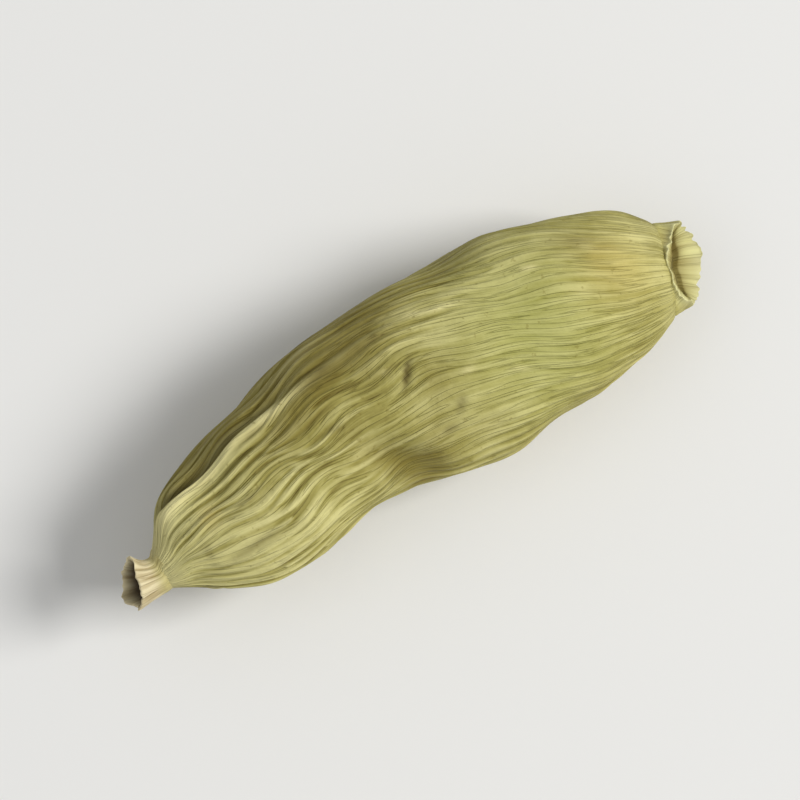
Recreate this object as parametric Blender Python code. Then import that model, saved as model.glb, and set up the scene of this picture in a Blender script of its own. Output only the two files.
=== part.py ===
"""A dried green cardamom pod lying on its side, in metres, +Z up, +X from the stalk end to the tip.

The husk is one grown capsule of three valves, so it is one solid. What is left of the stalk sits on one
end of it, and what is left of the flower on the other. The origin is on the surface that the pod rests on,
under the middle of its box.
"""

import bmesh
import bpy
import numpy as np
from mathutils import Vector

MM = 0.001

# Where the husk's surface lies at stations along it, in millimetres: the distance from the stalk end,
# how far it reaches to +Y and to -Y, and its highest and lowest point. The -Y side has a waist at 6 to 8,
# and the belly reaches a little below 0, where the resting spot is cut.
HUSK_STATIONS = (
    (0.0, 0.45, -0.70, 3.80, 2.62),
    (0.4, 0.95, -0.90, 3.98, 2.26),
    (0.9, 1.62, -1.14, 4.19, 1.86),
    (1.7, 2.18, -1.60, 4.45, 1.38),
    (3.0, 2.64, -2.05, 4.80, 0.80),
    (4.4, 3.08, -2.12, 5.06, 0.40),
    (6.0, 3.45, -1.84, 5.32, 0.10),
    (7.6, 3.72, -1.84, 5.48, -0.10),
    (9.4, 3.86, -2.18, 5.58, -0.18),
    (11.4, 3.76, -2.48, 5.60, -0.18),
    (13.6, 3.66, -2.42, 5.42, -0.06),
    (15.2, 3.32, -2.22, 5.08, 0.20),
    (16.6, 2.48, -2.05, 4.56, 0.62),
    (17.4, 1.92, -1.86, 4.06, 1.06),
    (17.9, 1.42, -1.74, 3.66, 1.42),
    (18.1, 1.10, -1.62, 3.36, 1.76),
)
HUSK_RINGS = 42
HUSK_SEGMENTS = 64

# The rings lean over near the tip, so that the husk's end faces a little to -Y
TIP_LEAN = 0.45
TIP_LEAN_START = 14.0

# The section is a rounded triangle: each valve boundary stands out as a blunt ridge. The first one is seen
# on the upper +Y side. It starts low beside the stalk and turns up within the first 2 mm.
VALVES = 3
RIDGE_HEIGHT = 0.04
RIDGE_ANGLE_AT_STALK = np.radians(24)
RIDGE_ANGLE_FURTHER_ON = np.radians(57)
RIDGE_TURN_LENGTH = 2.2

# Touching pieces keep this much air between them
SEAT_GAP = 0.1

# The stalk stub: a short flared collar with a dry hollow in its end, as distance from the husk and radius
STUB_SECTION = (
    (0.0, 0.0),
    (0.0, 0.6),
    (0.24, 0.6),
    (0.48, 0.64),
    (0.7, 0.72),
    (0.84, 0.8),
    (0.88, 0.75),
    (0.84, 0.65),
    (0.6, 0.56),
    (0.3, 0.49),
    (0.26, 0.0),
)
STUB_SEGMENTS = 28
STUB_OFFSET = Vector((-SEAT_GAP, -0.04, 0.0))
STUB_BEND = Vector((0.0, 0.42, 0.36))

# The withered flower: a short collar whose mouth turns up and is pinched at both corners, as distance from
# the husk, half width and half height
FLOWER_SECTION = (
    (0.0, 0.0, 0.0),
    (0.0, 1.22, 0.74),
    (0.2, 1.24, 0.75),
    (0.4, 1.25, 0.79),
    (0.56, 1.25, 0.83),
    (0.61, 1.17, 0.74),
    (0.57, 1.04, 0.56),
    (0.42, 0.84, 0.34),
    (0.38, 0.0, 0.0),
)
FLOWER_SEGMENTS = 36
FLOWER_BEND = Vector((0.0, -0.1, 1.0))
FLOWER_PINCH = 0.3

HUSK_COLOUR = (0.36, 0.34, 0.11, 1.0)
STUB_COLOUR = (0.62, 0.50, 0.30, 1.0)
FLOWER_COLOUR = (0.52, 0.47, 0.23, 1.0)
DRY_ROUGHNESS = 0.62


def clear_scene():
    for obj in list(bpy.data.objects):
        bpy.data.objects.remove(obj)


def through(points, places):
    """Points on the Catmull-Rom curve through points, at places counted in points from the first."""
    points = np.asarray(points, float)
    before = 2 * points[0] - points[1]
    after = 2 * points[-1] - points[-2]
    padded = np.vstack((before, points, after))
    span = np.minimum(places.astype(int), len(points) - 2)
    t = (places - span)[:, None]
    a, b, c, d = (padded[span + k] for k in range(4))
    return 0.5 * (2 * b + (c - a) * t + (2 * a - 5 * b + 4 * c - d) * t**2 + (3 * b - a - 3 * c + d) * t**3)


def eased(value, start, end):
    """Goes smoothly from 0 where the value is start to 1 where it is end."""
    t = np.clip((value - start) / (end - start), 0, 1)
    return t * t * (3 - 2 * t)


def ridge_angle(along):
    """The angle of the first valve boundary, counted from +Y towards +Z, at distances along the husk."""
    turned = eased(along, 0, RIDGE_TURN_LENGTH)
    return RIDGE_ANGLE_AT_STALK + (RIDGE_ANGLE_FURTHER_ON - RIDGE_ANGLE_AT_STALK) * turned


def husk_rings():
    """Rings of points round the husk, from the stalk end to the tip."""
    places = np.linspace(0, len(HUSK_STATIONS) - 1, HUSK_RINGS)
    along, left, right, top, bottom = through(HUSK_STATIONS, places).T[:, :, None]
    angle = np.linspace(0, 2 * np.pi, HUSK_SEGMENTS, endpoint=False)[None, :]
    share = places[:, None] / places[-1]
    swell = 1 + RIDGE_HEIGHT * np.sin(np.pi * share) * np.cos(VALVES * (angle - ridge_angle(along)))
    y = (left + right) / 2 + (left - right) / 2 * swell * np.cos(angle)
    z = (top + bottom) / 2 + (top - bottom) / 2 * swell * np.sin(angle)
    lean = TIP_LEAN * eased(along, TIP_LEAN_START, HUSK_STATIONS[-1][0])
    return np.stack((along + lean * np.cos(angle), y, z), axis=2)


def end_centre(station):
    """The middle of the husk's flat end at a station."""
    along, left, right, top, bottom = station
    return Vector((along, (left + right) / 2, (top + bottom) / 2))


def bent_rings(section, start, onward, bend, segments, pinch=0.0):
    """Rings along a short collar that leaves start along onward and bends towards bend.

    A section row is the distance along the collar and the ring's half width and half height. Pinch draws
    the ring's two sides in to corners: it is 0 for an oval.
    """
    length = max(row[0] for row in section)
    rings = []
    for distance, half_width, half_height in section:
        share = distance / length
        centre = start + onward * distance + bend * distance * share / 2
        forward = (onward + bend * share).normalized()
        side = Vector((0, 0, 1)).cross(forward).normalized()
        up = forward.cross(side)
        ring = []
        for k in range(segments):
            angle = 2 * np.pi * k / segments
            height = half_height * np.sin(angle) * abs(np.sin(angle)) ** pinch
            ring.append(centre + side * (half_width * np.cos(angle)) + up * height)
        rings.append(ring)
    return rings


def skin_rings(mesh, rings):
    """Joins rings of points with quads. A ring of no width becomes one point."""
    rows = []
    for ring in rings:
        points = [Vector(point) * MM for point in ring]
        if (points[0] - points[len(points) // 2]).length < 1e-9:
            points = points[:1]
        rows.append([mesh.verts.new(point) for point in points])
    for row, following in zip(rows, rows[1:]):
        count = max(len(row), len(following))
        for k in range(count):
            corners = [row[k % len(row)], row[(k + 1) % len(row)]]
            corners += [following[(k + 1) % len(following)], following[k % len(following)]]
            mesh.faces.new(list(dict.fromkeys(corners)))
    for row in (rows[0], rows[-1]):
        if len(row) > 1:
            mesh.faces.new(row)


def cut_resting_spot(mesh):
    """Cuts the belly level with the surface that the pod rests on, which leaves a small flat spot."""
    everything = list(mesh.verts) + list(mesh.edges) + list(mesh.faces)
    cut = bmesh.ops.bisect_plane(
        mesh, geom=everything, dist=1e-8, plane_co=(0, 0, 0), plane_no=(0, 0, -1), clear_outer=True
    )
    rim = [part for part in cut["geom_cut"] if isinstance(part, bmesh.types.BMEdge)]
    bmesh.ops.holes_fill(mesh, edges=rim, sides=0)


def dry_finish(name, colour):
    material = bpy.data.materials.new(name)
    material.use_nodes = True
    shader = material.node_tree.nodes["Principled BSDF"]
    shader.inputs["Base Color"].default_value = colour
    shader.inputs["Roughness"].default_value = DRY_ROUGHNESS
    shader.inputs["Metallic"].default_value = 0.0
    return material


def add_piece(name, mesh, material):
    bmesh.ops.recalc_face_normals(mesh, faces=mesh.faces)
    data = bpy.data.meshes.new(name)
    mesh.to_mesh(data)
    mesh.free()
    data.shade_smooth()
    data.set_sharp_from_angle(angle=np.radians(40))
    data.materials.append(material)
    piece = bpy.data.objects.new(name, data)
    bpy.context.scene.collection.objects.link(piece)
    return piece


def add_husk():
    mesh = bmesh.new()
    skin_rings(mesh, husk_rings())
    cut_resting_spot(mesh)
    return add_piece("husk", mesh, dry_finish("dried_husk", HUSK_COLOUR))


def add_stalk_stub():
    start = end_centre(HUSK_STATIONS[0]) + STUB_OFFSET
    section = [(distance, radius, radius) for distance, radius in STUB_SECTION]
    mesh = bmesh.new()
    skin_rings(mesh, bent_rings(section, start, Vector((-1, 0, 0)), STUB_BEND, STUB_SEGMENTS))
    return add_piece("stalk_stub", mesh, dry_finish("dried_stalk", STUB_COLOUR))


def add_withered_flower():
    half_width = (HUSK_STATIONS[-1][1] - HUSK_STATIONS[-1][2]) / 2
    onward = Vector((1, -TIP_LEAN / half_width, 0)).normalized()
    start = end_centre(HUSK_STATIONS[-1]) + onward * SEAT_GAP
    mesh = bmesh.new()
    rings = bent_rings(FLOWER_SECTION, start, onward, FLOWER_BEND, FLOWER_SEGMENTS, FLOWER_PINCH)
    skin_rings(mesh, rings)
    return add_piece("withered_flower", mesh, dry_finish("withered_flower", FLOWER_COLOUR))


def stand_on_origin(pieces):
    """Moves the meshes so that the origin is on the resting surface, under the middle of the pod's box."""
    points = np.array([vertex.co for piece in pieces for vertex in piece.data.vertices])
    middle = (points.min(axis=0) + points.max(axis=0)) / 2
    for piece in pieces:
        for vertex in piece.data.vertices:
            vertex.co.x -= middle[0]
            vertex.co.y -= middle[1]


def main():
    clear_scene()
    stand_on_origin([add_husk(), add_stalk_stub(), add_withered_flower()])


main()
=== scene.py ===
"""The looks of a dried green cardamom pod, lying on its side on a pale floor in soft light.

Shapes are worked out in millimetres, with x from the stalk end to the tip and z up, and become metres when
they are put into a mesh.
"""

import bpy
import numpy as np
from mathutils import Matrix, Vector


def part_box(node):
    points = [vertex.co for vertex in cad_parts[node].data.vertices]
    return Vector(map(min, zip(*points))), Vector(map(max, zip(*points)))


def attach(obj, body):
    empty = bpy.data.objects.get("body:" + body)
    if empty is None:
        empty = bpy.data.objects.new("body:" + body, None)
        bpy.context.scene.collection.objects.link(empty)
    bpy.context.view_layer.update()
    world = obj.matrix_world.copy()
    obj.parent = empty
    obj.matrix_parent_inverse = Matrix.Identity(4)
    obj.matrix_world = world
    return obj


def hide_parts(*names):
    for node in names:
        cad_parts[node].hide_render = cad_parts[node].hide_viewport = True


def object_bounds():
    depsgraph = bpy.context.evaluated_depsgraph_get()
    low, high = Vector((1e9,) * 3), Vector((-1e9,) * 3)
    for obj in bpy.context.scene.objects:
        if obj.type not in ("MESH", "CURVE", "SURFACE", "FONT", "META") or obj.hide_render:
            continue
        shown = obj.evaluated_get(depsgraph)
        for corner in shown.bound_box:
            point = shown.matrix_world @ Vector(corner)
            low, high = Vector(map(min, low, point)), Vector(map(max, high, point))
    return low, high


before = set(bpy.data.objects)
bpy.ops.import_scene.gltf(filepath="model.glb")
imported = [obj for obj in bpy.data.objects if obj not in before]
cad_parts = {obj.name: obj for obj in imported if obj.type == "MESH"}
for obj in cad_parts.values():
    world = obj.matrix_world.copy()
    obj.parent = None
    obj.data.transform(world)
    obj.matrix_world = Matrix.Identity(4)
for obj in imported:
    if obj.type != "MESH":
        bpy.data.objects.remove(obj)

cad_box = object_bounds()


# The husk
# A cardamom's husk is a dry capsule that grew of three valves, tough and fibrous like straw. As it dried it
# shrank onto the seeds and bent, and its veins came to stand out as ribs that run from end to end.

MM = 0.001
TURN = 2 * np.pi

# The skin without its ribs, at stations along the husk: the distance from the stalk end, how far it reaches
# to +Y and to -Y, and its highest and lowest point. The -Y side has a waist at 6 to 8.
STATIONS = (
    (0.0, 0.45, -0.70, 3.80, 2.62),
    (0.4, 0.95, -0.90, 3.98, 2.26),
    (0.9, 1.62, -1.14, 4.19, 1.86),
    (1.7, 2.18, -1.60, 4.45, 1.38),
    (3.0, 2.64, -2.05, 4.80, 0.80),
    (4.4, 3.08, -2.12, 5.06, 0.40),
    (6.0, 3.45, -1.84, 5.32, 0.10),
    (7.6, 3.72, -1.84, 5.48, -0.10),
    (9.4, 3.86, -2.18, 5.58, -0.18),
    (11.4, 3.76, -2.48, 5.60, -0.18),
    (13.6, 3.66, -2.42, 5.42, -0.06),
    (15.2, 3.32, -2.22, 5.08, 0.20),
    (16.6, 2.48, -2.05, 4.56, 0.62),
    (17.4, 1.92, -1.86, 4.06, 1.06),
    (17.9, 1.42, -1.74, 3.66, 1.42),
    (18.1, 1.10, -1.62, 3.36, 1.76),
)
LENGTH = STATIONS[-1][0]
HUSK_RINGS = 188
HUSK_AROUND = 520


def curve_through(points, places):
    """Points on a smooth curve through the given ones: between two of them it is a cubic whose slope at each
    is half the step between that point's neighbours. Places are counted in points from the first."""
    points = np.asarray(points, float)
    padded = np.vstack((2 * points[0] - points[1], points, 2 * points[-1] - points[-2]))
    span = np.minimum(places.astype(int), len(points) - 2)
    t = (places - span)[:, None]
    a, b, c, d = (padded[span + k] for k in range(4))
    return 0.5 * (2 * b + (c - a) * t + (2 * a - 5 * b + 4 * c - d) * t**2 + (3 * b - a - 3 * c + d) * t**3)


def eased(value, start, end):
    """0 before start, 1 after end, and 3t² - 2t³ between them."""
    t = np.clip((value - start) / (end - start), 0, 1)
    return t * t * (3 - 2 * t)


def bell(value, width):
    """exp(-(value / width)²), which is 1 at 0 and small past the width."""
    return np.exp(-((value / width) ** 2))


def uneven(along, angle, shortest, lobes, seed, waves=48):
    """A smooth uneven field of about -2 to 2: a sum of cosines over the root of half their number. Each has a
    random phase, a random length along the pod of at least `shortest` and up to `lobes` waves round it."""
    draw = np.random.default_rng(seed)
    total = np.zeros(np.broadcast(along, angle).shape)
    for _ in range(waves):
        pitch = TURN * draw.uniform(-1, 1) / shortest
        total += np.cos(pitch * along + draw.integers(-lobes, lobes + 1) * angle + draw.uniform(0, TURN))
    return total / np.sqrt(waves / 2)


# The rings crowd towards both ends, where the skin turns in
RING_CROWDING = 0.55
FINE_STEPS = 2000
ring_share = np.linspace(0, 1, HUSK_RINGS)
ring_share = ring_share - RING_CROWDING * np.sin(TURN * ring_share) / TURN
fine_places = np.linspace(0, len(STATIONS) - 1, FINE_STEPS)
fine_along = curve_through(STATIONS, fine_places)[:, 0]
places = np.interp(ring_share * LENGTH, fine_along, fine_places)
along, left, right, top, bottom = curve_through(STATIONS, places).T[:, :, None]

# The grid's lines follow the grain of the husk, which wavers, and past the middle winds over the top towards
# the bent tip. grain_angle numbers the lines, and angle is where round the pod they lie.
RIB_TWIST = np.radians(48)
grain_angle = np.linspace(0, TURN, HUSK_AROUND, endpoint=False)[None, :]
wander = 0.03 * uneven(along, grain_angle, 2.6, 7, 21) * (1.3 - 0.8 * eased(along, 5, 11))
wander += 0.05 * uneven(along, grain_angle, 8.0, 3, 22) - RIB_TWIST * eased(along, 9.5, 18.5)
angle = grain_angle - wander

# The section is a rounded triangle. The first corner is the valve boundary that shows, and near the tip the
# rings lean over, so that the husk's end faces a little to -Y.
CORNERS = 3
CORNER_SWELL = 0.04
FIRST_BOUNDARY = np.radians(24)
FIRST_BOUNDARY_FURTHER_ON = np.radians(57)
BOUNDARY_TURN_LENGTH = 2.2
TIP_LEAN = 0.45
turned = eased(along, 0, BOUNDARY_TURN_LENGTH)
boundary = FIRST_BOUNDARY + (FIRST_BOUNDARY_FURTHER_ON - FIRST_BOUNDARY) * turned
swell = 1 + CORNER_SWELL * np.sin(np.pi * places[:, None] / places[-1]) * np.cos(CORNERS * (angle - boundary))
skin_x = along + TIP_LEAN * eased(along, 14, LENGTH) * np.cos(angle)
skin_y = (left + right) / 2 + (left - right) / 2 * swell * np.cos(angle)
skin_z = (top + bottom) / 2 + (top - bottom) / 2 * swell * np.sin(angle)
skin = np.stack((skin_x, skin_y, skin_z), axis=2)
girth = np.pi * (left - right + top - bottom) / 2
facing_up = eased(np.sin(angle), -0.1, 0.6)
in_view = eased(np.sin(angle), -0.6, 0.2)


def outward(points):
    """Unit normals of a closed grid of rings: the cross product of its steps round and its steps along."""
    step_round = np.roll(points, -1, axis=1) - np.roll(points, 1, axis=1)
    step_along = np.gradient(points, axis=0)
    normal = np.cross(step_round, step_along)
    return normal / np.linalg.norm(normal, axis=2, keepdims=True)


# Ribs. They are the crests of a wave that goes round the pod, RIBS to a turn at mid length. A fork is a point
# about which the wave gains or loses one crest, so the ribs are fewer at both ends, where they join.
RIBS = 36
FORK_STRETCH = 6.0
STALK_FORKS = 12
TIP_FORKS = 11
LOOSE_FORKS = 16
draw = np.random.default_rng(11)


def forks(count, start, end, sign):
    """Places of forks, spread evenly round the pod and at random along it: distance, angle, sign."""
    angles = (np.arange(count) + draw.uniform(-0.4, 0.4, count)) * TURN / count
    return [(draw.uniform(start, end), turn, sign) for turn in angles]


phase = RIBS * grain_angle + 0 * along
all_forks = forks(STALK_FORKS, 1.0, 5.5, -1) + forks(TIP_FORKS, 12.5, 17.0, 1)
all_forks += forks(LOOSE_FORKS // 2, 3, 14, -1) + forks(LOOSE_FORKS // 2, 4, 15, 1)
for fork_along, fork_angle, sign in all_forks:
    beside = (angle - fork_angle) + 1j * (along - fork_along) / FORK_STRETCH
    phase += sign * np.angle(np.sin(beside / 2))

# A crest's shape goes from a narrow ridge to a broad fold with a narrow groove beside it
fold = 0.95 + 0.45 * uneven(along, angle, 5, 8, 23)
crest = (0.5 + 0.5 * np.cos(phase)) ** np.clip(fold, 0.4, 2)

# How strongly the ribs stand out: deep near the stalk, and shallow over the smoother rest of what shows,
# apart from two patches of slanting wrinkles
wrinkled = bell(skin_x - 15.2, 1.1) * bell(skin_y - 0.9, 1.3)
wrinkled += 0.7 * bell(skin_x - 11.2, 1.1) * bell(skin_y - 2.2, 0.8)
quiet = 1 - in_view * eased(along, 4.5, 8.5) * (0.66 - 0.45 * wrinkled + 0.16 * eased(along, 16.2, 17.2))
strength = quiet * np.clip(0.78 + 0.5 * uneven(along, angle, 3.4, 26, 24), 0.08, 1.8)
strength *= (eased(along, 0, 1.5) * 0.75 + 0.25) * (1 - 0.45 * eased(along, 16.4, 17.8))

# The seams where the valves meet: a pale ridge with a narrow cleft on its lower side. The seam that shows
# runs near the first corner. It is broad beside the stalk and dies out before the middle. The other two, on
# the lower flanks, are faint and come and go. A row holds a seam's angle, how strongly it shows and how far
# it wavers.
CLEFT_WIDTH = 0.14
CLEFT_OFFSET = 0.17
radius = girth / TURN
first_seam = np.radians(38 + 20 * eased(along, 0, 1.2) + 4 * eased(along, 3.5, 6))
first_shows = (1 - 0.9 * eased(along, 5.4, 7.2)) * np.clip(0.85 + 0.2 * uneven(along, 0, 1.3, 0, 35), 0.5, 1)
faint = eased(along, 0, 1.5) * (1 - eased(along, 15, 17.6))
left_shows = faint * np.clip(0.42 + 0.3 * uneven(along, 0, 3.2, 0, 33), 0.08, 0.75)
right_shows = faint * np.clip(0.38 + 0.3 * uneven(along, 0, 3.2, 0, 34), 0.05, 0.7)
seams = (
    (first_seam, first_shows, 0.006),
    (np.radians(203), left_shows, 0.04),
    (np.radians(304), right_shows, 0.04),
)
ridge_width = 0.16 + 0.1 * bell(along - 0.8, 0.7)
cleft_ends = eased(along, 0.4, 1.2) * (1 - 0.5 * eased(along, 4, 6))
ridge = np.zeros_like(phase)
cleft = np.zeros_like(phase)
for seam_angle, shows, waver in seams:
    centre = seam_angle + waver * uneven(along, 0, 3.5, 0, 30)
    apart = radius * (np.mod(angle - centre + np.pi, TURN) - np.pi)
    ridge = np.maximum(ridge, shows * bell(apart, ridge_width))
    cleft = np.maximum(cleft, shows * bell(apart + ridge_width + CLEFT_OFFSET, CLEFT_WIDTH) * cleft_ends)

# How far all this lifts or sinks the skin. The ribs' depth is a share of the gap between them.
RIB_DEPTH = 0.21
RIDGE_HEIGHT = 0.13
CLEFT_DEPTH = 0.22
rib_gap = girth / RIBS
relief = RIB_DEPTH * rib_gap * strength * (crest - 0.5) * (1 - np.maximum(ridge, cleft))
off_ends = eased(along, 0, 1.2) * (1 - eased(along, LENGTH - 0.9, LENGTH))
relief += (0.3 + 0.7 * off_ends) * (RIDGE_HEIGHT * ridge - CLEFT_DEPTH * cleft)

# Strands that are finer than the ribs, and the low lumps that the seeds press out
STRAND_HEIGHT = 0.008
LUMP_HEIGHT = 0.06
relief += STRAND_HEIGHT * off_ends * uneven(along, grain_angle, 4.0, 104, 41, 90)
relief += LUMP_HEIGHT * off_ends * uneven(along, angle, 2.6, 5, 40)

# A crease slants across the side beside the waist, where the pod bent as it dried, with a low bank along it.
# It is given by its middle and the unit vector across it.
CREASE_MIDDLE = (8.1, -1.6)
CREASE_ACROSS = (0.73, 0.68)
CREASE_WIDTH = 0.5
CREASE_REACH = 1.6
CREASE_DEPTH = 0.27
BANK_OFFSET = 1.0
BANK_HEIGHT = 0.1
off_x = skin[..., 0] - CREASE_MIDDLE[0]
off_y = skin[..., 1] - CREASE_MIDDLE[1]
crease_off = off_x * CREASE_ACROSS[0] + off_y * CREASE_ACROSS[1]
crease_run = off_x * CREASE_ACROSS[1] - off_y * CREASE_ACROSS[0]
crease_shows = bell(crease_run, CREASE_REACH) * in_view
crease = bell(crease_off, CREASE_WIDTH) * crease_shows
bank = bell(crease_off - BANK_OFFSET, CREASE_WIDTH) * crease_shows
relief += BANK_HEIGHT * bank - CREASE_DEPTH * crease

# The top swells up to the lip of the flower
LIP_SWELL = 0.08
relief += LIP_SWELL * eased(along, 17.5, 18.0) * eased(np.sin(angle), 0.2, 0.8)

# How far every piece moves, so that the middle of the skin lies where the CAD husk's does. The height is
# right already.
husk_low, husk_high = (np.array(corner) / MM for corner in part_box("husk"))
skin_middle = (skin.min(axis=(0, 1)) + skin.max(axis=(0, 1))) / 2
in_place = (husk_low + husk_high) / 2 - skin_middle
in_place[2] = 0


def closed_tube(name, points, fields):
    """A closed mesh in metres from rings of points in millimetres. Quads join each ring to the next, and
    triangles join the two end rings to a pole in their middle. Fields become attributes of the points."""
    rings, around = points.shape[:2]
    poles = np.stack((points[0].mean(axis=0), points[-1].mean(axis=0)))
    places = np.vstack((points.reshape(-1, 3), poles)) + in_place
    here = np.arange(around)
    after = np.roll(here, -1)
    first = np.arange(rings - 1)[:, None] * around
    quads = np.stack((first + here, first + after, first + around + after, first + around + here), axis=-1)
    last = (rings - 1) * around
    start_pole = np.stack((np.full(around, rings * around), after, here), axis=-1)
    end_pole = np.stack((np.full(around, rings * around + 1), last + here, last + after), axis=-1)
    mesh = bpy.data.meshes.new(name)
    faces = quads.reshape(-1, 4).tolist() + start_pole.tolist() + end_pole.tolist()
    mesh.from_pydata((places * MM).tolist(), [], faces)
    for field, values in fields.items():
        values = np.broadcast_to(values, points.shape[:2] + values.shape[2:])
        at_poles = np.stack((values[0].mean(axis=0), values[-1].mean(axis=0)))
        flat = np.concatenate((values.reshape((-1,) + values.shape[2:]), at_poles)).astype(np.float32)
        if flat.ndim == 2:
            mesh.attributes.new(field, "FLOAT_VECTOR", "POINT").data.foreach_set("vector", flat.ravel())
        else:
            mesh.attributes.new(field, "FLOAT", "POINT").data.foreach_set("value", flat)
    mesh.shade_smooth()
    piece = bpy.data.objects.new(name, mesh)
    bpy.context.scene.collection.objects.link(piece)
    return piece


def marks(rows):
    """A sum of soft ovals on the skin that faces up. A row is an oval's strength, its place x and y, its
    reach along and across, and how far it is turned, in degrees. An oval is a bell in both directions."""
    total = np.zeros(angle.shape)
    for strong, x, y, reach_along, reach_across, lean in rows:
        c = np.cos(np.radians(lean))
        s = np.sin(np.radians(lean))
        off_x = skin[..., 0] - x
        off_y = skin[..., 1] - y
        total += strong * bell(c * off_x + s * off_y, reach_along) * bell(c * off_y - s * off_x, reach_across)
    return total * facing_up


# Small marks: one dark scratch, a few faint spots, dark furrows whose darkness is painted shade in grooves,
# and short pale glints that are painted highlights, most of them on the slanting wrinkles
SCRATCH = ((1.5, 9.4, 0.77, 0.4, 0.1, 52),)
SPOTS = (
    (0.45, 6.7, 0.5, 0.3, 0.14, -20),
    (0.3, 7.3, 2.3, 0.25, 0.1, 5),
    (0.6, 9.72, -1.28, 0.28, 0.11, -8),
    (0.65, 10.35, -0.84, 0.3, 0.14, 45),
)
SHADED_FURROWS = (
    (0.33, 1.5, -0.5, 0.14, 0.3, 0),
    (0.605, 2.95, -1.08, 1.0, 0.13, 0),
    (0.33, 3.2, 0.12, 0.8, 0.14, 6),
    (0.33, 6.85, 2.12, 0.6, 0.2, 12),
    (0.22, 8.3, 2.3, 1.5, 0.42, 0),
)
GLINTS = (
    (0.6, 3.2, -0.72, 1.3, 0.13, 0),
    (0.7, 3.2, -1.9, 0.3, 0.14, 0),
    (0.9, 6.9, 3.08, 1.0, 0.13, 9),
    (0.6, 8.85, 1.15, 0.22, 0.1, -35),
    (1.0, 10.5, 2.3, 0.35, 0.09, -22),
    (1.0, 11.08, -0.05, 0.24, 0.14, 0),
    (1.0, 11.3, 1.95, 0.5, 0.1, -14),
    (0.6, 12.4, -0.78, 0.36, 0.12, -35),
    (1.0, 14.3, 1.65, 0.25, 0.1, -25),
    (1.0, 15.3, 0.2, 0.35, 0.1, -30),
    (1.0, 15.5, 1.35, 0.4, 0.08, -28),
    (0.8, 16.2, 1.33, 0.26, 0.1, -30),
)
scratch = np.clip(marks(SCRATCH), 0, 1)
spots_and_shade = np.clip(scratch + marks(SPOTS) + marks(SHADED_FURROWS), 0, 1)
glints = np.clip(marks(GLINTS), 0, 1) * (0.35 + 0.65 * crest)
relief_of_marks = 0.03 * glints - 0.04 * spots_and_shade - 0.05 * scratch

# Broad tints: pale beside the stalk, brown and dull past it, greener beyond the middle, warm at the tip, with
# a pale shoulder beside the flower. What is hidden in the picture is a little warm. The brown patches are
# partly the husk's own brown and partly painted shade, and the flank below the ridge is darkened with painted
# shade.
PALE_PATCHES = (
    (1.0, 0.7, 0.0, 1.2, 1.0, 0),
    (0.6, 1.2, 1.25, 0.9, 0.4, 10),
    (0.5, 1.6, 0.3, 0.8, 0.5, 0),
    (1.0, 2.7, -1.1, 2.2, 1.0, 0),
    (0.8, 3.0, 1.35, 1.5, 0.35, 8),
    (0.3, 4.8, 0.15, 0.6, 0.5, 0),
    (0.45, 5.2, -1.6, 1.5, 0.6, 0),
    (0.25, 6.3, -1.1, 1.5, 0.7, 0),
    (0.35, 7.4, -0.7, 0.5, 0.4, 0),
    (0.35, 9.3, -0.4, 0.4, 0.4, 0),
    (0.4, 10.8, 1.4, 1.1, 0.5, 0),
    (0.5, 11.0, -2.2, 1.0, 0.5, 0),
    (0.3, 11.9, 0.3, 2.6, 2.4, 0),
    (0.85, 13.2, 1.8, 2.4, 0.9, 0),
    (0.5, 14.0, -0.4, 1.5, 0.9, 0),
    (0.5, 17.7, -0.8, 0.4, 0.8, 0),
    (0.6, 17.8, 0.9, 0.6, 0.5, 0),
)
BROWN_AND_SHADE_PATCHES = (
    (1.1, 5.7, 1.45, 1.4, 0.6, 12),
    (1.0, 6.9, 2.1, 0.8, 0.35, 12),
    (0.35, 7.0, 0.4, 0.6, 0.4, 0),
    (0.95, 8.2, 2.35, 1.5, 0.75, 0),
    (0.3, 8.4, 1.25, 0.6, 0.4, 0),
    (0.8, 8.9, -1.8, 0.8, 0.5, 0),
    (0.4, 9.4, -1.0, 0.6, 0.4, 0),
    (0.5, 10.1, 0.2, 0.6, 0.7, 0),
    (0.3, 10.8, -1.75, 0.8, 0.4, 0),
    (0.5, 12.4, 3.3, 2.2, 0.5, 0),
    (0.8, 16.0, 1.6, 0.8, 0.4, -35),
)
GREEN_PATCH = ((1.0, 13.5, 0.0, 2.6, 2.8, 0),)
WARM_PATCHES = (
    (0.8, 2.1, 0.38, 0.35, 0.4, 0),
    (0.9, 16.5, 0.85, 0.4, 0.28, 0),
    (1.0, 16.6, 0.3, 1.1, 1.0, -20),
)
CREAM_PATCHES = (
    (0.7, 0.85, 1.0, 0.75, 0.28, 32),
    (0.35, 2.7, 1.55, 1.0, 0.3, 15),
)
pale = np.clip(marks(PALE_PATCHES), 0, 1)
past_seam = np.mod(first_seam - angle + np.pi, TURN) - np.pi
shade_below_ridge = eased(past_seam, 0.06, 0.22) * (1 - eased(past_seam, 1.2, 2.0)) * eased(along, 0.5, 1.4)
# Painted shade in the crease and on the flank below the ridge is added to the brown patches
brown_and_shade = marks(BROWN_AND_SHADE_PATCHES) + crease + 0.95 * shade_below_ridge * (1 - eased(along, 8.5, 12))
brown_and_shade = np.clip(brown_and_shade, 0, 1)
green = marks(GREEN_PATCH)
warm_side = (1 - in_view) * (0.25 + 0.3 * uneven(along, angle, 5, 3, 50))
warmth = np.clip(marks(WARM_PATCHES) + warm_side, 0, 1)

# The ridge is cream, and so are its broad foot and the neck beside the stub
neck_share = 0.6 * (1 - eased(along, 0, 0.8))
cream = marks(CREAM_PATCHES)
cream = np.maximum(ridge, cream + neck_share * (1 - cream))

surface = skin + outward(skin) * (relief + relief_of_marks)[..., None]
# The belly comes no lower than the floor: z becomes the mean of itself and the root of z² + BELLY_SOFTNESS²
BELLY_SOFTNESS = 0.05
surface[..., 2] = 0.5 * (surface[..., 2] + np.sqrt(surface[..., 2] ** 2 + BELLY_SOFTNESS**2))

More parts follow.
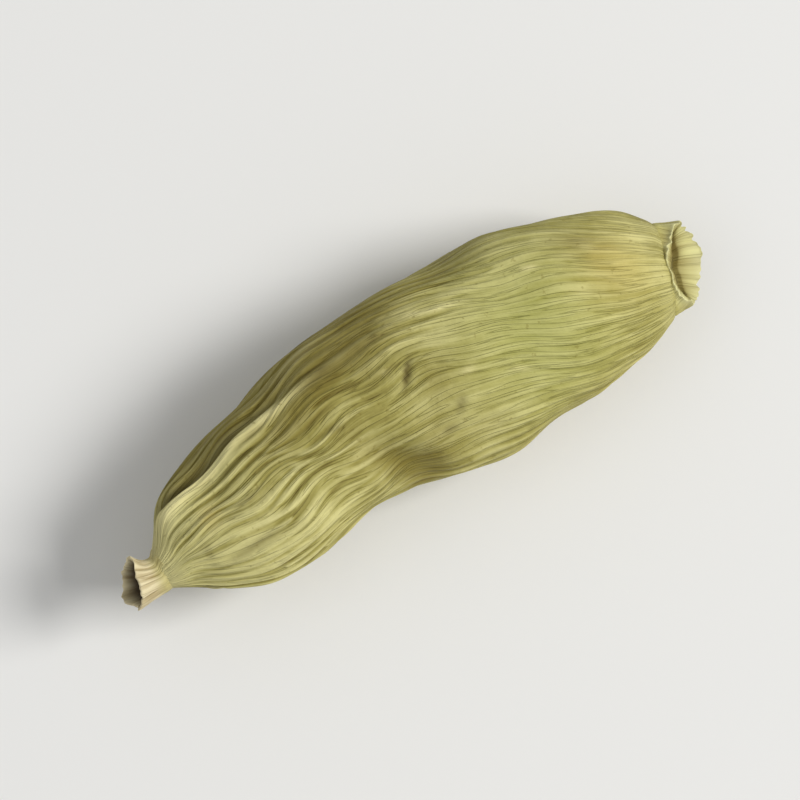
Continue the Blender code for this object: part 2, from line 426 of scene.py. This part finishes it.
# The grain is a place on the straightened pod, for the fibres of the material
GRAIN_RADIUS = 3.0
grain_y = GRAIN_RADIUS * np.cos(grain_angle)
grain_z = GRAIN_RADIUS * np.sin(grain_angle)
grain = np.stack(np.broadcast_arrays(along, grain_y, grain_z), axis=2)

husk = closed_tube(
    "husk_skin",
    surface,
    {
        "crest": np.clip(0.5 + strength * (crest - 0.5), 0, 1),
        "cream": cream,
        "cleft": cleft,
        "spots_and_shade": spots_and_shade,
        "glints": glints,
        "pale": pale,
        "brown_and_shade": brown_and_shade,
        "green": green,
        "warmth": warmth,
        "grain": grain,
    },
)


def node(tree, kind, inputs=None, **settings):
    """Adds a shader node. An input is given a number or colour, or the socket that feeds it."""
    made = tree.nodes.new(kind)
    for setting, value in settings.items():
        setattr(made, setting, value)
    for socket, value in (inputs or {}).items():
        if isinstance(value, bpy.types.NodeSocket):
            tree.links.new(value, made.inputs[socket])
        else:
            made.inputs[socket].default_value = value
    return made


def field_of(tree, name):
    """The value of a point attribute of the piece."""
    return node(tree, "ShaderNodeAttribute", attribute_name=name).outputs["Fac"]


def sums(tree, *terms):
    """Adds up terms, each a socket and the factor that it is multiplied by, to a starting number."""
    total = terms[0]
    for socket, factor in terms[1:]:
        inputs = {0: socket, 1: factor, 2: total}
        total = node(tree, "ShaderNodeMath", inputs, operation="MULTIPLY_ADD").outputs[0]
    return total


def mixed(tree, share, colour, other):
    """Colour where share is 0, other where it is 1."""
    inputs = {"Factor": share, 6: colour, 7: other}
    return node(tree, "ShaderNodeMix", inputs, data_type="RGBA").outputs[2]


def between(tree, value, low, high):
    """0 where value is low, 1 where it is high, held at both."""
    inputs = {"Value": value, "From Min": low, "From Max": high}
    return node(tree, "ShaderNodeMapRange", inputs, interpolation_type="SMOOTHSTEP").outputs["Result"]


def noise(tree, vector, scale, stretch, detail, roughness):
    """Noise with `scale` cells to a unit of the vector, after the vector is multiplied by stretch."""
    spread = node(tree, "ShaderNodeMapping", {"Vector": vector, "Scale": stretch}).outputs["Vector"]
    inputs = {"Vector": spread, "Scale": scale, "Detail": detail, "Roughness": roughness}
    return node(tree, "ShaderNodeTexNoise", inputs).outputs["Fac"]


def rgb(red, green, blue):
    """A colour given as it is seen, 0 to 255, turned into linear light by the sRGB curve."""
    seen = np.array((red, green, blue)) / 255
    linear = np.where(seen <= 0.04045, seen / 12.92, ((seen + 0.055) / 1.055) ** 2.4)
    return (*linear.tolist(), 1.0)


def tinted(tree, colour, name, share, tint):
    """The colour, mixed towards tint by share times the point attribute of that name."""
    return mixed(tree, sums(tree, 0.0, (field_of(tree, name), share)), colour, tint)


# Dry plant fibre, for every piece: broad streaks and fine strands along the grain, with thin lines between
# the strands, and low unevenness. The grain is in millimetres, x along it.
fibre_group = bpy.data.node_groups.new("dry_fibre", "ShaderNodeTree")
fibre_group.interface.new_socket("Grain", in_out="INPUT", socket_type="NodeSocketVector")
for output in ("Streaks", "Strands", "Lines", "Height"):
    fibre_group.interface.new_socket(output, in_out="OUTPUT", socket_type="NodeSocketFloat")
given = fibre_group.nodes.new("NodeGroupInput").outputs["Grain"]
put_out = fibre_group.nodes.new("NodeGroupOutput").inputs
coarse = between(fibre_group, noise(fibre_group, given, 3.4, (0.13, 1, 1), 2, 0.5), 0.3, 0.7)
fine = between(fibre_group, noise(fibre_group, given, 9.5, (0.05, 1, 1), 2, 0.6), 0.28, 0.72)
across = between(fibre_group, noise(fibre_group, given, 2.8, (1, 1, 1), 2, 0.5), 0.3, 0.7)
streaks = between(fibre_group, noise(fibre_group, given, 1.25, (0.16, 1, 1), 2, 0.5), 0.3, 0.7)
strands = sums(fibre_group, 0.0, (coarse, 0.45), (fine, 0.55))
# A line lies wherever a noise crosses its middle
level = sums(fibre_group, -0.5, (noise(fibre_group, given, 5.5, (0.06, 1, 1), 2, 0.5), 1.0))
off_middle = node(fibre_group, "ShaderNodeMath", {0: level}, operation="ABSOLUTE").outputs[0]
lines = between(fibre_group, off_middle, 0.035, 0.0)
height = sums(fibre_group, 0.0, (strands, 0.7), (across, 0.2), (lines, -0.35))
fibre_group.links.new(streaks, put_out["Streaks"])
fibre_group.links.new(strands, put_out["Strands"])
fibre_group.links.new(lines, put_out["Lines"])
fibre_group.links.new(height, put_out["Height"])


def dry_material(name):
    """A new matt material, with its tree, its shader and the outputs of its fibre group."""
    material = bpy.data.materials.new(name)
    material.use_nodes = True
    tree = material.node_tree
    shader = tree.nodes["Principled BSDF"]
    shader.inputs["IOR"].default_value = 1.45
    shader.inputs["Specular IOR Level"].default_value = 0.3
    grain = node(tree, "ShaderNodeAttribute", attribute_name="grain").outputs["Vector"]
    fibre = node(tree, "ShaderNodeGroup", node_tree=fibre_group)
    tree.links.new(grain, fibre.inputs["Grain"])
    return material, tree, shader, fibre.outputs


def finished(tree, shader, fibre, colour, least_rough, fibre_depth, bump_share):
    """Feeds the shader its colour, a roughness that grows on the strands, and the fibres as a bump, whose
    depth is in millimetres."""
    tree.links.new(colour, shader.inputs["Base Color"])
    tree.links.new(sums(tree, least_rough, (fibre["Strands"], 0.2)), shader.inputs["Roughness"])
    inputs = {"Height": fibre["Height"], "Distance": fibre_depth * MM, "Strength": bump_share}
    tree.links.new(node(tree, "ShaderNodeBump", inputs).outputs["Normal"], shader.inputs["Normal"])


HUSK_GROOVE = rgb(106, 92, 34)
HUSK_OLIVE = rgb(160, 151, 80)
HUSK_STRAW = rgb(206, 198, 132)
HUSK_BROWN = rgb(114, 98, 26)
HUSK_GREEN = rgb(158, 160, 82)
HUSK_WARM = rgb(190, 168, 88)
HUSK_CREAM = rgb(236, 226, 162)
HUSK_CLEFT_SHADE = rgb(78, 66, 20)
HUSK_SPOT_AND_SHADE = rgb(84, 70, 26)

material, tree, shader, fibre = dry_material("dried_husk")
in_metres = node(tree, "ShaderNodeTexCoord").outputs["Object"]
in_mm = node(tree, "ShaderNodeMapping", {"Vector": in_metres, "Scale": (1 / MM, 1 / MM, 1 / MM)})
place = in_mm.outputs["Vector"]
blotches = between(tree, noise(tree, place, 0.75, (1, 1, 1), 4, 0.6), 0.32, 0.68)
specks = between(tree, noise(tree, place, 5.0, (1, 1, 1), 2, 0.5), 0.66, 0.74)
# Painted shade and light on the ribs: the crest field darkens the grooves towards HUSK_GROOVE and pales the
# crests
tone = sums(tree, -0.28, (field_of(tree, "crest"), 0.76), (field_of(tree, "pale"), 0.45), (blotches, 0.24))
tone = sums(tree, tone, (fibre["Streaks"], 0.24), (fibre["Strands"], 0.38), (fibre["Lines"], -0.17))
ramp = node(tree, "ShaderNodeValToRGB", {"Fac": tone})
ramp.color_ramp.elements[0].color = HUSK_GROOVE
ramp.color_ramp.elements[1].color = HUSK_STRAW
ramp.color_ramp.elements.new(0.45).color = HUSK_OLIVE
colour = ramp.outputs["Color"]
colour = tinted(tree, colour, "green", 0.6, HUSK_GREEN)
# Brown that is partly the husk's own and partly painted shade, in the crease, below the ridge and in patches
colour = tinted(tree, colour, "brown_and_shade", 0.6, HUSK_BROWN)
colour = tinted(tree, colour, "warmth", 0.45, HUSK_WARM)
colour = tinted(tree, colour, "cream", 0.95, HUSK_CREAM)
# Painted shade: the narrow cleft beside the seam is darkened
colour = tinted(tree, colour, "cleft", 0.8, HUSK_CLEFT_SHADE)
# Painted highlights: the glints mix the colour towards cream
colour = tinted(tree, colour, "glints", 0.55, HUSK_CREAM)
colour = mixed(tree, sums(tree, 0.0, (specks, 0.35)), colour, HUSK_BROWN)
# The scratch and the spots are the husk's own dark marks. The furrows in this field are painted shade.
colour = tinted(tree, colour, "spots_and_shade", 0.85, HUSK_SPOT_AND_SHADE)
finished(tree, shader, fibre, colour, least_rough=0.6, fibre_depth=0.055, bump_share=1.0)

husk.data.materials.append(material)
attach(husk, "root")
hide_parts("husk")


# The stalk stub
# The pod hung on a short stalk that broke off when it was picked. What is left is a pale dry collar of stalk
# fibres, flared at its broken rim, whose pith has shrunk away to a dark hollow.

# Distance from the husk and radius, from inside the husk's neck to the bottom of the hollow
STUB_PROFILE = (
    (-0.18, 0.69),
    (-0.06, 0.642),
    (0.06, 0.60),
    (0.24, 0.592),
    (0.47, 0.635),
    (0.72, 0.73),
    (0.92, 0.82),
    (0.97, 0.80),
    (0.92, 0.73),
    (0.70, 0.63),
    (0.42, 0.54),
    (0.20, 0.42),
    (0.14, 0.2),
    (0.13, 0.05),
)
STUB_OFFSET = np.array((0.0, -0.04, 0.0))
STUB_BEND = np.array((0.0, 0.42, 0.36))
ROOT_LEAN = np.array((0.0, 0.1, -0.04))
STUB_RINGS = 90
STUB_AROUND = 160


def leaning_collar(distance, half_width, half_height, start, onward, bend, turn):
    """A collar round an axis that leaves start along onward and bends towards bend. At a share s of its
    length its middle is start + onward·distance + bend·distance·s/2, and its rings are ovals that face
    onward + bend·s."""
    share = distance / distance.max()
    middle = start + onward * distance[..., None] + bend * (distance * share / 2)[..., None]
    forward = onward + bend * share[..., None]
    forward /= np.linalg.norm(forward, axis=-1, keepdims=True)
    side = np.cross((0.0, 0.0, 1.0), forward)
    side /= np.linalg.norm(side, axis=-1, keepdims=True)
    up = np.cross(forward, side)
    across = side * (half_width * np.cos(turn))[..., None]
    return middle + across + up * (half_height * np.sin(turn))[..., None]


# What changes along the collar is placed by counting the points of its profile, from 0 at the root. A field
# that is given `straight` for its distance is the same all along the collar.
STUB_RIM_POINT = 7
point = np.linspace(0, len(STUB_PROFILE) - 1, STUB_RINGS)[:, None]
distance, stub_radius = curve_through(STUB_PROFILE, point[:, 0]).T[:, :, None]
turn = np.linspace(0, TURN, STUB_AROUND, endpoint=False)[None, :]
straight = 0 * distance
hollow = eased(point, 7.7, 9.4)
rim = bell(point - STUB_RIM_POINT, 1.8)
root = 1 - eased(distance, 0.0, 0.5)

# Its fibres stand out as strands, and its rim is torn and not quite round
STRAND_RELIEF = 0.018
RIM_UNROUND = 0.045
strand = uneven(straight, turn, 1, 26, 60) * 0.6 + uneven(distance, turn, 0.8, 14, 61) * 0.5
torn = 0.05 * uneven(straight, turn, 1, 6, 62) + 0.018 * uneven(straight, turn, 1, 26, 63)
stub_radius = stub_radius + STRAND_RELIEF * strand * (1 - 0.4 * hollow) * (1 - 0.7 * root)
stub_radius += RIM_UNROUND * rim * uneven(straight, turn, 1, 3, 64)
distance = distance + rim * torn
neck_y = (STATIONS[0][1] + STATIONS[0][2]) / 2
neck_z = (STATIONS[0][3] + STATIONS[0][4]) / 2
neck = np.array((0.0, neck_y, neck_z)) + STUB_OFFSET
stub_points = leaning_collar(
    distance, stub_radius, stub_radius, neck, np.array((-1.0, 0.0, 0.0)), STUB_BEND, -turn
)
# Its root leans over with the husk, whose middle moves aside there
stub_points += (1 - eased(distance, -0.15, 0.15))[..., None] * ROOT_LEAN
stub_grain = np.broadcast_arrays(distance, 0.6 * np.cos(turn), 0.6 * np.sin(turn))
stub = closed_tube(
    "stalk_collar",
    stub_points[::-1],
    {
        "hollow": hollow[::-1],
        "rim": rim[::-1],
        "root": (root * (1 - hollow))[::-1],
        "strand": strand[::-1],
        "grain": np.stack(stub_grain, axis=2)[::-1],
    },
)

STUB_CREAM = rgb(220, 206, 164)
STUB_TAN = rgb(150, 128, 78)
STUB_RIM = rgb(232, 220, 182)
STUB_ROOT = rgb(186, 176, 108)
STUB_HOLLOW_SHADE = rgb(50, 34, 14)

material, tree, shader, fibre = dry_material("dried_stalk")
tone = sums(tree, 0.25, (field_of(tree, "strand"), 0.26), (fibre["Strands"], 0.7), (fibre["Lines"], -0.35))
colour = mixed(tree, tone, STUB_TAN, STUB_CREAM)
colour = tinted(tree, colour, "rim", 0.35, STUB_RIM)
colour = tinted(tree, colour, "root", 0.75, STUB_ROOT)
# Painted shade: the hollow inside the stub is coloured dark from a little below the rim
colour = tinted(tree, colour, "hollow", 1.0, STUB_HOLLOW_SHADE)
finished(tree, shader, fibre, colour, least_rough=0.55, fibre_depth=0.05, bump_share=0.8)

stub.data.materials.append(material)
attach(stub, "root")
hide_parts("stalk_stub")


# The withered flower
# The flower's base stays on the tip of the pod and is grown to the husk. It has dried to a short papery
# collar, pale and pleated, whose mouth turns up and is pinched nearly shut.

# Distance from the husk, half width and half height, from inside the tip to the bottom of the mouth
FLOWER_PROFILE = (
    (-0.35, 1.28, 0.70),
    (-0.08, 1.45, 0.85),
    (0.12, 1.44, 0.87),
    (0.32, 1.36, 0.84),
    (0.50, 1.30, 0.85),
    (0.60, 1.27, 0.86),
    (0.62, 1.24, 0.83),
    (0.57, 1.18, 0.74),
    (0.48, 1.08, 0.56),
    (0.38, 1.00, 0.30),
    (0.28, 0.94, 0.06),
)
FLOWER_BEND = np.array((0.0, -0.1, 1.0))
MOUTH_UP = np.array((-0.7, 0.0, 0.7))
FLOWER_PINCH = 0.3
FLOWER_RINGS = 100
FLOWER_AROUND = 300

# What changes along the collar is again placed by counting the points of its profile
FLOWER_RIM_POINT = 5.6
point = np.linspace(0, len(FLOWER_PROFILE) - 1, FLOWER_RINGS)[:, None]
distance, half_width, half_height = curve_through(FLOWER_PROFILE, point[:, 0]).T[:, :, None]
turn = np.linspace(0, TURN, FLOWER_AROUND, endpoint=False)[None, :]
straight = 0 * distance
hollow = eased(point, 7.2, 9.0)
rim = bell(point - FLOWER_RIM_POINT, 1.6)
root = (1 - eased(distance, 0.02, 0.42)) * (1 - eased(point, 4, 5))

# The wall is pleated and crumpled, and its rim is frayed, with a few notches torn into it
NOTCH_ANGLES = np.radians((-52, -118, 64))
NOTCH_WIDTH = 0.07
NOTCH_DEPTH = 0.09
pleat = uneven(distance, turn, 3.0, 16, 70)
crumple = eased(point, 0.8, 4.0) * (0.03 * pleat + 0.028 * uneven(distance, turn, 0.7, 10, 73))
crumple += 0.01 * eased(point, 0.4, 1.4) * uneven(distance, turn, 2.4, 44, 74)
frayed = 0.04 * uneven(straight, turn, 1, 7, 71) + 0.017 * uneven(straight, turn, 1, 34, 72)
notches = sum(bell(np.mod(turn - at + np.pi, TURN) - np.pi, NOTCH_WIDTH) for at in NOTCH_ANGLES)
half_width = half_width + crumple
half_height = (half_height + crumple) * np.abs(np.sin(turn)) ** (FLOWER_PINCH * eased(point, 1.2, 4.0))
# Inside, the far lip slopes in broadly, so the slit lies beside the near lip
slope_in = 0.9 * eased(point, 6.2, 8.6) * eased(-np.sin(turn), -0.2, 0.5)
half_height = half_height * (1 - slope_in)
distance = distance + rim * (frayed - NOTCH_DEPTH * notches)

tip_y = (STATIONS[-1][1] + STATIONS[-1][2]) / 2
tip_z = (STATIONS[-1][3] + STATIONS[-1][4]) / 2
tip_half_width = (STATIONS[-1][1] - STATIONS[-1][2]) / 2
tip = np.array((LENGTH, tip_y, tip_z))
onward = np.array((1.0, -TIP_LEAN / tip_half_width, 0.0))
onward /= np.linalg.norm(onward)
flower_points = leaning_collar(distance, half_width, half_height, tip, onward, FLOWER_BEND, turn)
# The slit waves up and down from one corner of the mouth to the other
across_mouth = np.cos(turn)
slit_wave = 0.07 * np.cos(4.1 * across_mouth + 0.6) + 0.04 * np.cos(9.3 * across_mouth)
flower_points += (slit_wave * eased(point, 5.2, 8.6))[..., None] * MOUTH_UP
flower_grain = np.broadcast_arrays(distance, 1.2 * np.cos(turn), 0.8 * np.sin(turn))
flower = closed_tube(
    "flower_collar",
    flower_points,
    {
        "hollow": hollow * (0.6 + 0.4 * bell(np.cos(turn) - 0.55, 0.4)),
        "rim": rim,
        "root": root,
        "strand": pleat,
        "grain": np.stack(flower_grain, axis=2),
    },
)

FLOWER_STRAW = rgb(200, 194, 128)
FLOWER_TAN = rgb(156, 144, 80)
FLOWER_RIM = rgb(222, 218, 164)
FLOWER_ROOT = rgb(172, 164, 92)
FLOWER_SLIT_SHADE = rgb(128, 112, 56)

material, tree, shader, fibre = dry_material("withered_flower")
tone = sums(tree, 0.15, (field_of(tree, "strand"), 0.2), (fibre["Strands"], 0.7), (fibre["Lines"], -0.3))
colour = mixed(tree, tone, FLOWER_TAN, FLOWER_STRAW)
colour = tinted(tree, colour, "root", 0.7, FLOWER_ROOT)
colour = tinted(tree, colour, "rim", 0.6, FLOWER_RIM)
# Painted shade: the slit inside the pinched mouth is coloured darker
colour = tinted(tree, colour, "hollow", 1.0, FLOWER_SLIT_SHADE)
finished(tree, shader, fibre, colour, least_rough=0.55, fibre_depth=0.05, bump_share=0.8)

flower.data.materials.append(material)
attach(flower, "root")
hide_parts("withered_flower")


# The floor, the lights and the camera
# A plain pale sheet to lie on, a soft light from the picture's right, a weak one from its left, and a pale
# room round it. The camera looks steeply down, turned so that the pod runs from lower left to upper right.

FLOOR_SIDE = 1.2
FLOOR_COLOUR = (0.80, 0.79, 0.76, 1.0)
ROOM_COLOUR = (0.95, 0.97, 1.0, 1.0)
ROOM_STRENGTH = 0.40
CAMERA_AZIMUTH = np.radians(-32)
CAMERA_ELEVATION = np.radians(81)
CAMERA_DISTANCE = 0.30
FRAME_WIDTH = 0.0245

floor_mesh = bpy.data.meshes.new("floor")
half = FLOOR_SIDE / 2
corners = [(-half, -half, 0), (half, -half, 0), (half, half, 0), (-half, half, 0)]
floor_mesh.from_pydata(corners, [], [(0, 1, 2, 3)])
floor = bpy.data.objects.new("floor", floor_mesh)
bpy.context.scene.collection.objects.link(floor)
material = bpy.data.materials.new("floor_paper")
material.use_nodes = True
shader = material.node_tree.nodes["Principled BSDF"]
shader.inputs["Base Color"].default_value = FLOOR_COLOUR
shader.inputs["Roughness"].default_value = 0.9
floor_mesh.materials.append(material)

look_at = (Vector(cad_box[0]) + Vector(cad_box[1])) / 2


def direction(azimuth, elevation):
    """The unit vector from the object to a viewer: its height is the sine of the elevation, and the azimuth
    turns its level part round from -Y."""
    level = np.cos(elevation)
    return Vector((np.sin(azimuth) * level, -np.cos(azimuth) * level, np.sin(elevation)))


def soft_light(name, azimuth, elevation, distance, side, power):
    """A square area light that faces the object. Its azimuth and elevation are in degrees."""
    data = bpy.data.lights.new(name, "AREA")
    data.size = side
    data.energy = power
    light = bpy.data.objects.new(name, data)
    back = direction(np.radians(azimuth), np.radians(elevation))
    light.location = look_at + back * distance
    light.rotation_euler = back.to_track_quat("Z", "Y").to_euler()
    bpy.context.scene.collection.objects.link(light)


soft_light("key_light", azimuth=62, elevation=42, distance=0.5, side=0.2, power=2.15)
soft_light("fill_light", azimuth=-100, elevation=60, distance=0.6, side=0.5, power=0.35)

world = bpy.data.worlds.new("pale_room")
world.use_nodes = True
background = world.node_tree.nodes["Background"]
background.inputs["Color"].default_value = ROOM_COLOUR
background.inputs["Strength"].default_value = ROOM_STRENGTH
bpy.context.scene.world = world
bpy.context.scene.view_settings.view_transform = "Standard"

camera = bpy.data.objects.new("camera", bpy.data.cameras.new("camera"))
back = direction(CAMERA_AZIMUTH, CAMERA_ELEVATION)
camera.location = look_at + back * CAMERA_DISTANCE
camera.rotation_euler = back.to_track_quat("Z", "Y").to_euler()
camera.data.lens = camera.data.sensor_width * CAMERA_DISTANCE / FRAME_WIDTH
camera.data.clip_start = 0.01
camera.data.clip_end = 10
bpy.context.scene.collection.objects.link(camera)
bpy.context.scene.camera = camera
